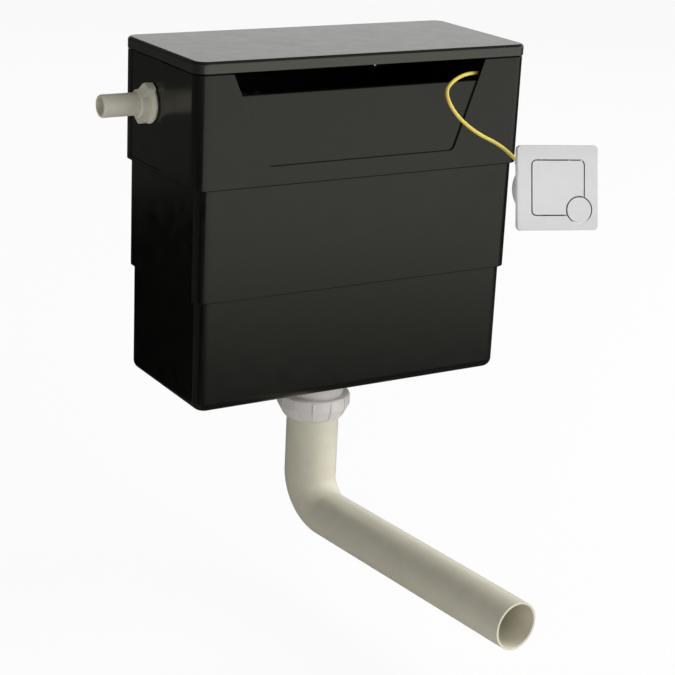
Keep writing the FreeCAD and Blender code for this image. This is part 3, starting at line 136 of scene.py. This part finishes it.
def largest(tree, *values):
    top = values[0]
    for value in values[1:]:
        top = reckoned(tree, "MAXIMUM", top, value)
    return top


def mixed(tree, amount, first, second):
    """Mix of two colours, each three plain numbers or another node's output."""
    node = add(tree, "Mix", data_type="RGBA")
    ends = [socket for socket in node.inputs if socket.type == "RGBA"]
    for socket, colour in zip(ends, (first, second)):
        if isinstance(colour, tuple):
            socket.default_value = (*colour, 1)
        else:
            tree.links.new(colour, socket)
    tree.links.new(amount, node.inputs["Factor"])
    return next(socket for socket in node.outputs if socket.type == "RGBA")


def bumps(tree, layers, soft_edge=0.0):
    """Bump layers (height, depth in metres, strength), over edges softened by a radius in metres."""
    normal = None
    if soft_edge:
        normal = add(tree, "Bevel", samples=6, Radius=soft_edge).outputs["Normal"]
    for height, depth, strength in layers:
        node = add(tree, "Bump", Distance=depth, Strength=strength)
        tree.links.new(height, node.inputs["Height"])
        if normal is not None:
            tree.links.new(normal, node.inputs["Normal"])
        normal = node.outputs["Normal"]
    return normal


# Materials, with depths in millimetres and noise scales per metre
# Colour of the painted shade in gaps and crevices
PAINTED_SHADE_COLOUR = (0.01, 0.01, 0.01)
PAINTED_SHADE_OPENNESS = (0.75, 0.97)  # share of open space where the painted gap shade is darkest, and where there is none
PATCH_SCALE = 60
WAVE_STRENGTH = 0.6
GRAIN_STRENGTH = 0.5
GLOW_RADIUS = (1.0, 0.8, 0.6)  # for red, green and blue
GLOW_DEPTH = 2.0
STREAK_SCALE = 900
STREAK_SQUEEZE = (1, 1, 14)
STREAK_TONES = (0.85, 1.1)
STREAK_ROUGHNESS = (-0.08, 0.1)
STREAK_DEPTH = 0.01
STREAK_STRENGTH = 0.4
MATERIALS = {}


def tinted(colour, gain):
    return tuple(min(1.0, c * gain) for c in colour)


def painted_gap_shade(tree, tone, reach):
    """Painted shade: colour that turns dark where other faces are within reach."""
    space = add(tree, "AmbientOcclusion", samples=8, Distance=reach * MM).outputs["AO"]
    return mixed(tree, spread(tree, space, FULL_RANGE, PAINTED_SHADE_OPENNESS), PAINTED_SHADE_COLOUR, tone)


def moulded(name, colour, rough, rough_spread=0.05, mottle=0.06, grain=2500, grain_depth=0.02, wave=9,
            wave_depth=0.25, soft_edge=0.4, glow=0.0, tint=(1, 1, 1), shine=0.5, painted_shade_reach=0.0):
    """Moulded plastic: slight mottle, fine grain, slow waves of the wall, soft edges and painted shade in
    gaps.
    """
    made, tree, main = shader(name)
    where = coords(tree)
    patch = noise(tree, where, PATCH_SCALE, detail=5.0, rough=0.6)
    slow = noise(tree, where, wave, detail=2.0, rough=0.5)
    fine = noise(tree, where, grain, detail=2.0, rough=0.5)
    darker = tinted(colour, 1 - mottle)
    lighter = tinted(colour, 1 + mottle)
    tone = mixed(tree, spread(tree, patch, FULL_RANGE), darker, lighter)
    # Painted shade: the colour darkens in gaps and crevices
    if painted_shade_reach:
        tone = painted_gap_shade(tree, tone, painted_shade_reach)
    uneven = spread(tree, patch, (rough - rough_spread, rough + rough_spread))
    layers = ((slow, wave_depth * MM, WAVE_STRENGTH), (fine, grain_depth * MM, GRAIN_STRENGTH))
    tree.links.new(tone, main.inputs["Base Color"])
    tree.links.new(uneven, main.inputs["Roughness"])
    tree.links.new(bumps(tree, layers, soft_edge * MM), main.inputs["Normal"])
    set_inputs(main, Specular_Tint=(*tint, 1), Specular_IOR_Level=shine)
    if glow:
        set_inputs(main, Subsurface_Weight=glow, Subsurface_Radius=GLOW_RADIUS,
                   Subsurface_Scale=GLOW_DEPTH * MM)
    MATERIALS[name] = made


def drawn_metal(name, colour, rough):
    """Bright metal with fine streaks."""
    made, tree, main = shader(name)
    streak = noise(tree, coords(tree, STREAK_SQUEEZE), STREAK_SCALE, detail=3.0, rough=0.6)
    darker, lighter = (tinted(colour, gain) for gain in STREAK_TONES)
    tone = mixed(tree, spread(tree, streak, FULL_RANGE), darker, lighter)
    uneven = spread(tree, streak, [rough + change for change in STREAK_ROUGHNESS])
    tree.links.new(tone, main.inputs["Base Color"])
    tree.links.new(uneven, main.inputs["Roughness"])
    tree.links.new(bumps(tree, ((streak, STREAK_DEPTH * MM, STREAK_STRENGTH),)), main.inputs["Normal"])
    set_inputs(main, Metallic=1.0)
    MATERIALS[name] = made


BLACK_TINT = (0.98, 1.0, 0.84)
moulded("tank_plastic", (0.0048, 0.0049, 0.0044), 0.19, mottle=0.12, grain=3200, grain_depth=0.012, wave=7,
        soft_edge=0.9, tint=BLACK_TINT)
moulded("white_plastic", (0.66, 0.63, 0.53), 0.38, glow=0.12)
moulded("pipe_plastic", (0.67, 0.64, 0.52), 0.34, mottle=0.03, wave=14, wave_depth=0.15, glow=0.15)
moulded("blue_plastic", (0.035, 0.085, 0.21), 0.42)
# The plate and the housing get painted shade in their gaps
moulded("plate_silver", (0.61, 0.61, 0.615), 0.33, mottle=0.015, grain=5200, grain_depth=0.008, wave=5,
        wave_depth=0.05, painted_shade_reach=1.5)
moulded("housing_grey", (0.66, 0.66, 0.65), 0.48, painted_shade_reach=1.5)
moulded("seal_rubber", (0.02, 0.02, 0.02), 0.7, grain=1800, grain_depth=0.03)
moulded("foam", (0.52, 0.52, 0.51), 0.9, grain=900, grain_depth=0.2)
drawn_metal("steel", (0.56, 0.56, 0.57), 0.3)
moulded("ferrule_plastic", (0.02, 0.02, 0.02), 0.4)
moulded("cable_yellow", (0.72, 0.58, 0.12), 0.36, mottle=0.1, wave=90, wave_depth=0.05, soft_edge=0,
        glow=0.1)
moulded("lid_plastic", (0.016, 0.016, 0.0145), 0.20, rough_spread=0.02, grain=3200, grain_depth=0.006,
        wave=7, wave_depth=0.15, soft_edge=0.5, tint=BLACK_TINT, shine=0.95)
moulded("nut_plastic", (0.72, 0.69, 0.67), 0.4, glow=0.12)
moulded("arm_plastic", (0.012, 0.012, 0.012), 0.5)

# Each node has the material of its slot, or a look of its own
OWN_LOOKS = {
    "lid": "lid_plastic",
    "coupling_nut": "nut_plastic",
    "valve_backnut": "nut_plastic",
    "valve_seat": "nut_plastic",
    "float_arm": "arm_plastic",
    "float_screw": "arm_plastic",
}
for part in RECORD["subparts"]:
    look = OWN_LOOKS.get(part["node"], part["material_slot"])
    painted = NODES[part["node"]].data.materials
    painted.clear()
    painted.append(MATERIALS[look])


# Pull cable, from the flush valve through the slot to the plate, with its route in millimetres
CABLE = 3.5 * MM
ROUTE = (
    (75.4, -76.5, -35), (99.4, -76.5, -33), (128, -80, -26), (151, -93, -13), (153, -116, 1),
    (140, -137.5, 11.5), (109.57, -148.78, 14.83), (86.01, -158.41, 10.53), (76.66, -161.26, 0.42),
    (88.71, -162.31, -20.33), (113.81, -161.87, -39.56), (142.35, -161.95, -52.89), (158.8, -162, -65.3),
    (163.044, -164.831, -70.135),
)


def pull_cable():
    """Cable sleeve on a smooth line along the route."""
    line = bpy.data.curves.new("pull_cable_sleeve", "CURVE")
    line.dimensions = "3D"
    line.bevel_depth = CABLE / 2
    line.bevel_resolution = 6
    line.resolution_u = 16
    line.materials.append(MATERIALS["cable_yellow"])
    run = line.splines.new("NURBS")
    run.points.add(len(ROUTE) - 1)
    for point, spot in zip(run.points, ROUTE):
        point.co = (*(c * MM for c in spot), 1)
    run.order_u = 3
    run.use_endpoint_u = True
    cable = bpy.data.objects.new("pull_cable_sleeve", line)
    SCENE.collection.objects.link(cable)
    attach(cable, "cistern")
    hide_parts("pull_cable")
    return cable


# Button springs, each as a copy of its own
def shortening_coil(squeezed):
    """Copy of a spring with a mesh of its own, in the place of the spring, which is hidden."""
    spring = NODES[squeezed["node"]]
    coil = bpy.data.objects.new(squeezed["node"] + "_coil", spring.data.copy())
    SCENE.collection.objects.link(coil)
    coil.matrix_world = spring.matrix_world.copy()
    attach(coil, "cistern")
    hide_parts(squeezed["node"])
    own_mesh(coil)
    return coil


def button_springs():
    """Copies of all springs, made once the places of the loaded nodes are up to date."""
    bpy.context.view_layer.update()
    coils = []
    for joint in RECORD["behaviour"]["joints"]:
        for squeezed in joint.get("deforming_nodes", []):
            coils.append(shortening_coil(squeezed))
    return coils


# The tank's front mirrors neither the plate nor the cable, as in the photograph
def unmirrored(*pieces):
    tank_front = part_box("tank")[0].y
    plate_pieces = [piece for node, piece in NODES.items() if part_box(node)[1].y < tank_front]
    for piece in (*pieces, *plate_pieces):
        piece.visible_glossy = False


# Camera at the photograph's viewpoint, in metres, with its lens in pixels of the image
IMAGE_SIDE = 675
FOCAL_PX = 1831.8
SENSOR_MM = 36
EYE = Vector((-0.8801, -1.5456, 0.3187))
RIGHT = Vector((0.85836, -0.51107, 0.04510))
UPWARD = Vector((0.12560, 0.29455, 0.94735))
FORWARD = Vector((0.49744, 0.80750, -0.31702))


def camera():
    lens = bpy.data.cameras.new("camera")
    lens.sensor_width = SENSOR_MM
    lens.lens = FOCAL_PX / IMAGE_SIDE * SENSOR_MM
    lens.dof.use_dof = False
    viewer = bpy.data.objects.new("camera", lens)
    turn = Matrix((RIGHT, UPWARD, -FORWARD)).transposed()
    viewer.matrix_world = Matrix.Translation(EYE) @ turn.to_4x4()
    SCENE.collection.objects.link(viewer)
    SCENE.camera = viewer


# Stage: pale floor, white surround, cards that paint dark reflections and soft lamps, in metres and watts
FLOOR_DROP = 0.05
FLOOR_HEIGHT = CAD_BOX[0].z - FLOOR_DROP
HALF_FLOOR = 30.0
FLOOR_COLOUR = (0.88, 0.88, 0.87)
FLOOR_WHITE = 0.92  # share of plain white, beside the share that shows the shadow
FLOOR_SHADE_FADE = (0.163, -0.654, 0)  # share of the mirrored floor's fade per metre along each axis; this fade is painted shade, dark at the part
FLOOR_MIRRORED = (-0.65, 0.88)  # its tone at the start and the end of the fade, black below nought
SKY_HEIGHT = (0.24, 0.42)  # from the mirrored sky's bright low part to its dark high part
SKY_MIRRORED = (0.9, 0.02)
SKY_SIDE = (-0.35, 0.15)  # from its dark left to its bright right
SKY_SIDE_MIRRORED = (0.05, 1.0)
SURROUND_SIDE = (-0.7, 0.7)  # from the weaker left to the stronger right of the surround's own light
SURROUND_LIT = (0.12, 0.52)
LAMP_AIM = (0.02, -0.12, -0.15)


def stage_plane(name, height, corners, material):
    mesh = bpy.data.meshes.new(name)
    mesh.from_pydata([(x, y, 0) for x, y in corners], [], [range(len(corners))])
    mesh.materials.append(material)
    obj = bpy.data.objects.new(name, mesh)
    obj.location.z = height
    SCENE.collection.objects.link(obj)
    return obj


def floor_paint():
    """White to the eye with a share left for the shadow, and in reflections dark but for the front: painted
    shade near the part.
    """
    made, tree, main = shader("floor_paint")
    set_inputs(main, Base_Color=(*FLOOR_COLOUR, 1), Roughness=0.9, Specular_IOR_Level=0.1)
    rays = add(tree, "LightPath").outputs
    # Painted shade: in reflections the floor darkens towards the part
    ahead = add(tree, "VectorMath", operation="DOT_PRODUCT")
    ahead.inputs[1].default_value = FLOOR_SHADE_FADE
    tree.links.new(add(tree, "TexCoord").outputs["Object"], ahead.inputs[0])
    painted_floor_shade = spread(tree, ahead.outputs["Value"], FLOOR_MIRRORED, FULL_RANGE)
    white = add(tree, "Emission")
    tree.links.new(largest(tree, inverse(tree, rays["Is Glossy Ray"]), painted_floor_shade), white.inputs["Strength"])
    shown = largest(tree, rays["Is Camera Ray"], rays["Is Glossy Ray"], rays["Is Transmission Ray"])
    mix = add(tree, "MixShader")
    tree.links.new(spread(tree, shown, (0, FLOOR_WHITE), FULL_RANGE), mix.inputs["Fac"])
    tree.links.new(main.outputs["BSDF"], mix.inputs[1])
    tree.links.new(white.outputs["Emission"], mix.inputs[2])
    tree.links.new(mix.outputs["Shader"], tree.nodes["Material Output"].inputs["Surface"])
    return made


def floor():
    corners = [(x * HALF_FLOOR, y * HALF_FLOOR) for x, y in ((-1, -1), (1, -1), (1, 1), (-1, 1))]
    stage_plane("floor", FLOOR_HEIGHT, corners, floor_paint())


def surround():
    """White to the eye, a soft lamp stronger on the right, and in reflections bright only low and right."""
    world = bpy.data.worlds.new("surround")
    world.use_nodes = True
    tree = world.node_tree
    back = tree.nodes["Background"]
    set_inputs(back, Color=(1, 1, 1, 1))
    rays = add(tree, "LightPath").outputs
    way = add(tree, "SeparateXYZ")
    tree.links.new(add(tree, "TexCoord").outputs["Generated"], way.inputs[0])
    low_sky = spread(tree, way.outputs["Z"], SKY_MIRRORED, SKY_HEIGHT)
    right_sky = spread(tree, way.outputs["X"], SKY_SIDE_MIRRORED, SKY_SIDE)
    sky = reckoned(tree, "MULTIPLY", low_sky, right_sky)
    mirrored = reckoned(tree, "MULTIPLY", sky, rays["Is Glossy Ray"])
    light = spread(tree, way.outputs["X"], SURROUND_LIT, SURROUND_SIDE)
    lamp = reckoned(tree, "MULTIPLY", inverse(tree, rays["Is Glossy Ray"]), light)
    strength = largest(tree, rays["Is Camera Ray"], rays["Is Transmission Ray"], mirrored, lamp)
    tree.links.new(strength, back.inputs["Strength"])
    SCENE.world = world


def painted_reflection_card(name, lift, shade, *corners):
    """Card just above the floor that only reflections show: a painted dark reflection."""
    made, tree, main = shader(name)
    set_inputs(main, Base_Color=(shade, shade, shade, 1), Roughness=1.0, Specular_IOR_Level=0.0)
    card = stage_plane(name, FLOOR_HEIGHT + lift, corners, made)
    card.visible_camera = False
    card.visible_diffuse = False
    card.visible_shadow = False
    card.visible_transmission = False


def softbox(name, place, size, power, aim=LAMP_AIM, fan=180):
    """Area lamp that isn't seen or mirrored, with the fan of its light in degrees."""
    lamp = bpy.data.lights.new(name, "AREA")
    lamp.spread = math.radians(fan)
    lamp.shape = "RECTANGLE"
    lamp.size, lamp.size_y = size
    lamp.energy = power
    box = bpy.data.objects.new(name, lamp)
    box.location = place
    box.rotation_euler = (Vector(aim) - Vector(place)).to_track_quat("-Z", "Y").to_euler()
    box.visible_camera = False
    box.visible_glossy = False
    SCENE.collection.objects.link(box)


# The whole scene
unmirrored(pull_cable(), *button_springs())
camera()
floor()
surround()
# Cards seen only in reflections: painted dark reflections on the glossy parts
painted_reflection_card("left_card", 0.003, 0.16, (-0.2, 6), (-5, 6), (-5, -3.2), (-1.3, -3.2), (-0.75, -1.6),
          (-0.62, -0.62), (-0.2, -0.2))
painted_reflection_card("corner_card", 0.004, 0.0, (-0.7, -0.2), (-1.5, -0.35), (-2.7, -0.95), (-1.3, -2.7),
          (-0.75, -1.6), (-1.05, -0.95), (-0.62, -0.62))
painted_reflection_card("wall_card", 0.004, 0.0, (-0.2, 0.2), (-0.55, 0.42), (-0.88, 0.88), (-1.05, 1.38), (-0.2, 1.38))
painted_reflection_card("right_card", 0.003, 0.02, (1.15, -1), (4, -1), (4, 3), (1.15, 3))
softbox("key", (2.4, -0.9, 1.1), size=(1.6, 1.6), power=57)
softbox("fill", (1.4, -2.4, 0.9), size=(1.8, 1.2), power=31)
softbox("left_fill", (-1.5, -1.7, 0.5), size=(1.4, 1.2), power=9)
softbox("back_glow", (1.6, 2.5, 1.0), size=(2.4, 1.2), power=9, aim=(0.15, -0.2, -0.05))
softbox("plate_side", (-1.2, -0.28, -0.02), size=(0.06, 0.06), power=0.014, aim=(0.135, -0.215, -0.087),
        fan=6)
SCENE.view_settings.view_transform = "Standard"
